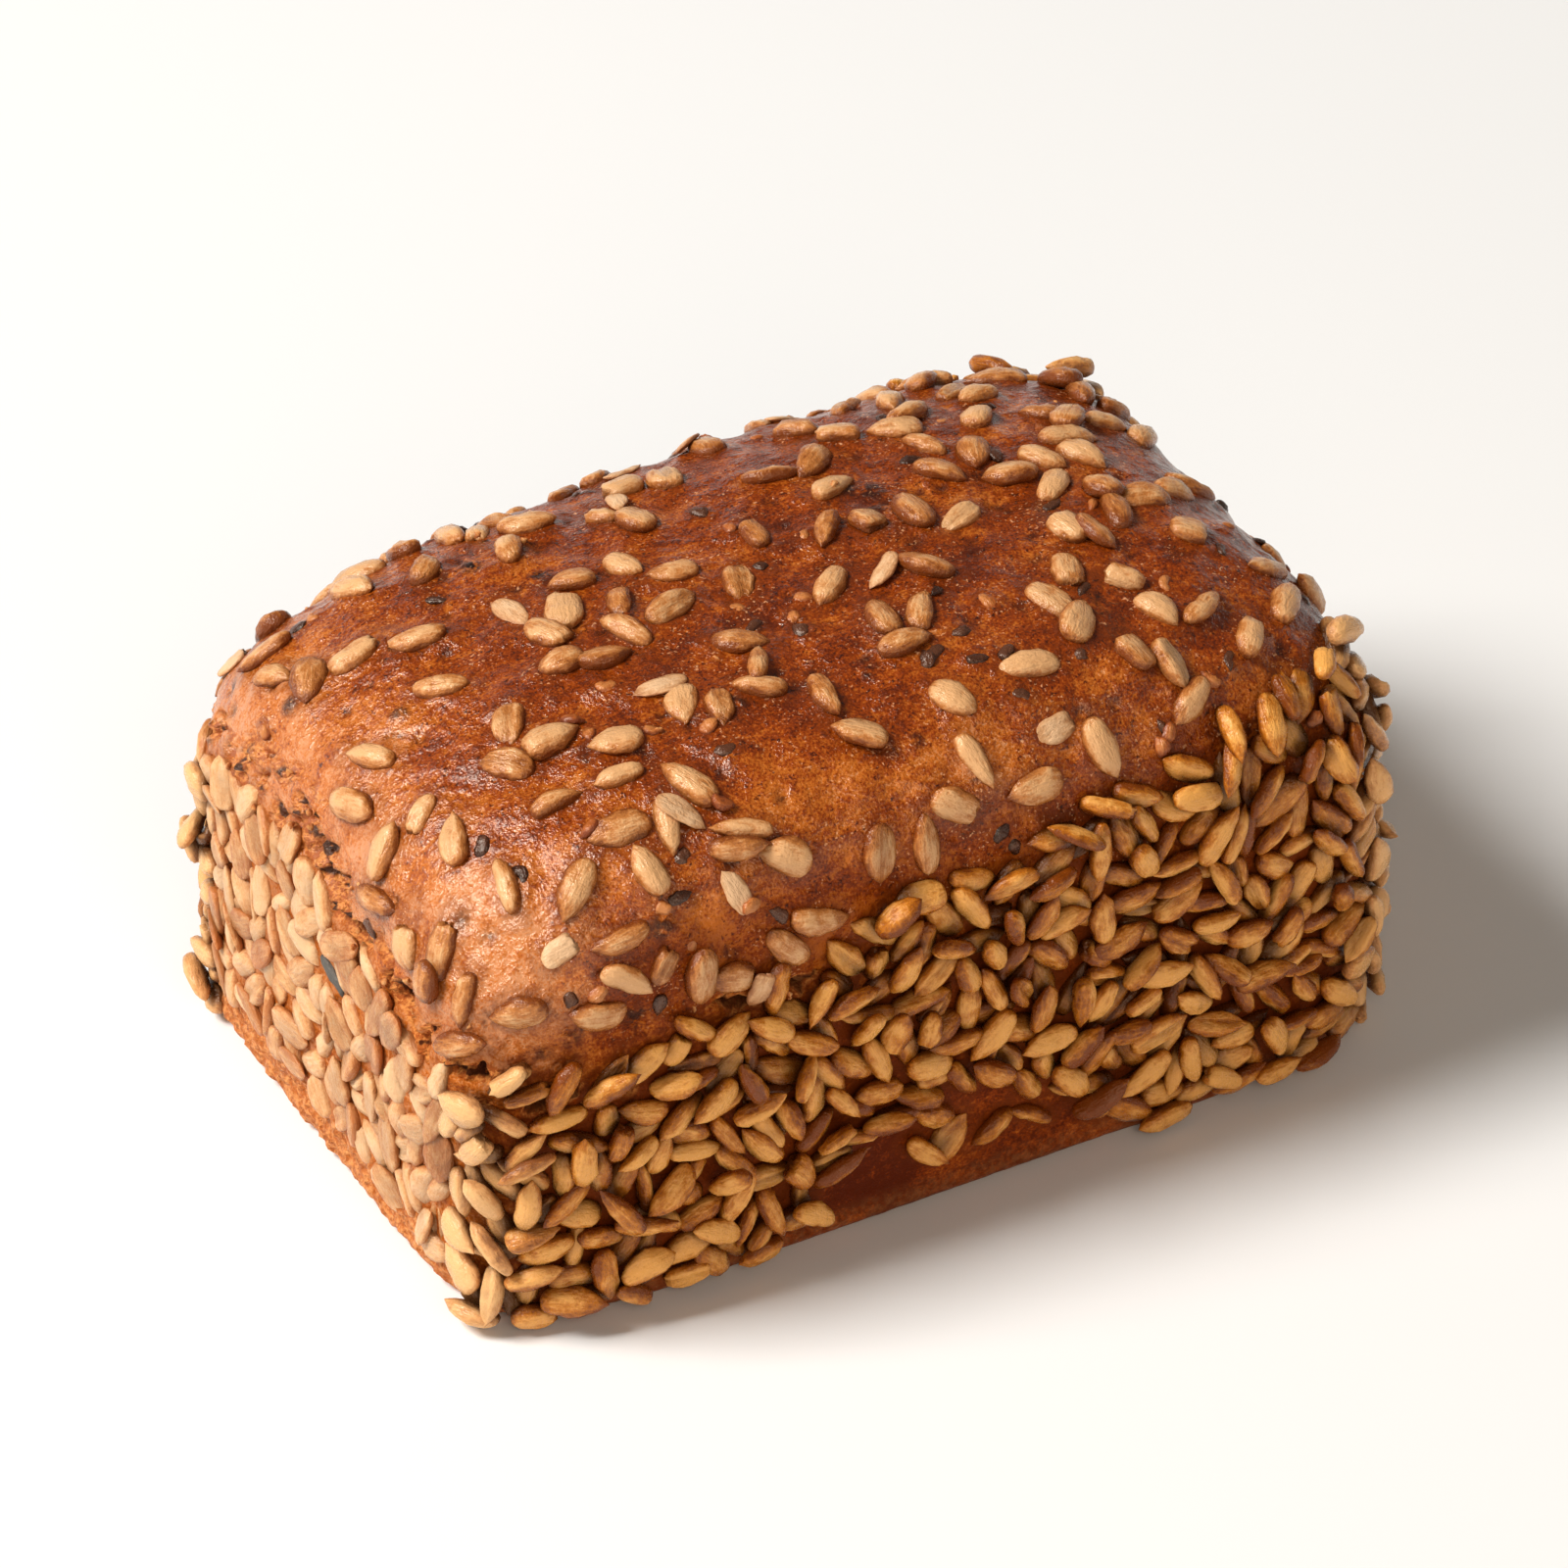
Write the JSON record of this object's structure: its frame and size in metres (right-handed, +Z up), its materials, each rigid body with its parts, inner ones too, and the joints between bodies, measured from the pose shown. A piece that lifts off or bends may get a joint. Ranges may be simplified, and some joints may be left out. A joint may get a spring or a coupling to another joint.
{
  "type": "rye bread loaf",
  "caption": "Short tin-baked rye loaf: flat base, nearly upright walls with round corners, a broad browned dome, and sunflower kernels baked onto walls and dome.",
  "frame": {"origin": "middle of the tin's rectangle on the loaf's flat base", "axes": "+X along the loaf's long axis, +Y across it, +Z up from the base through the dome"},
  "size_m": [0.1614, 0.1108, 0.0866],
  "materials": {
    "crust": "baked rye crust: brown and slightly glossy on the dome, tan and dense with toasted sunflower kernels on the walls"
  },
  "bodies": {
    "root": {"loaf": "crust"}
  },
  "joints": []
}
